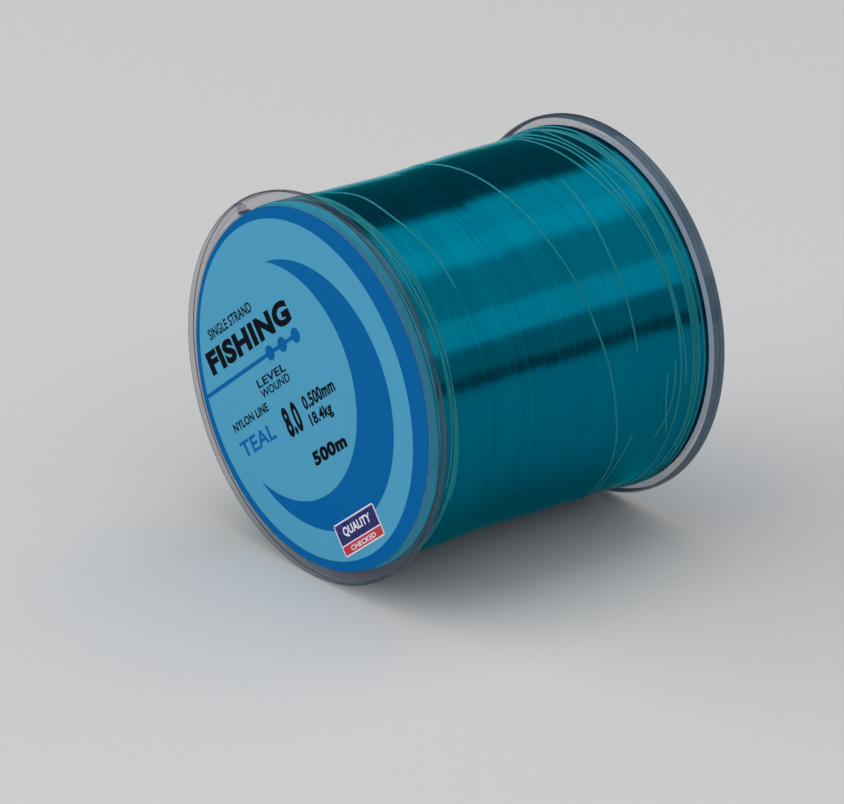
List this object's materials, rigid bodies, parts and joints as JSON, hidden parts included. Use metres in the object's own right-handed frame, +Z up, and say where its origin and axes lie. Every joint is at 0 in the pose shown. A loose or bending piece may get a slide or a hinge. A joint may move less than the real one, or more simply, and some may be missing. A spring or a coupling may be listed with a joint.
{
  "type": "fishing line spool",
  "caption": "Clear two-flanged spool wound full of teal nylon fishing line, with a round blue label on the front and a bore for a dispenser spindle.",
  "frame": {"origin": "middle of the spool: on its axis, half way between the two rim faces", "axes": "+Y along the spool's axis from the front label to the rear, +X to the right as the front label is seen, +Z up; the spool lies on its two rims"},
  "size_m": [0.07, 0.065, 0.07],
  "materials": {
    "clear_plastic": "clear glossy moulded polystyrene",
    "white_plastic": "smooth moulded polystyrene",
    "label_print": "glossy printed film label in two blues with dark lettering",
    "sticker_print": "glossy printed sticker, navy over red with a white edge",
    "nylon_line": "glossy teal nylon monofilament, wound in close parallel turns",
    "tape": "thin satin adhesive tape"
  },
  "bodies": {
    "root": {"front_flange": "clear_plastic", "rear_flange": "clear_plastic", "barrel": "white_plastic", "spindle_tube": "clear_plastic", "front_label": "label_print", "rear_label": "label_print", "seal_sticker": "sticker_print", "wound_line": "nylon_line", "line_start": "nylon_line", "start_tape": "tape", "line_end": "nylon_line"}
  },
  "joints": []
}
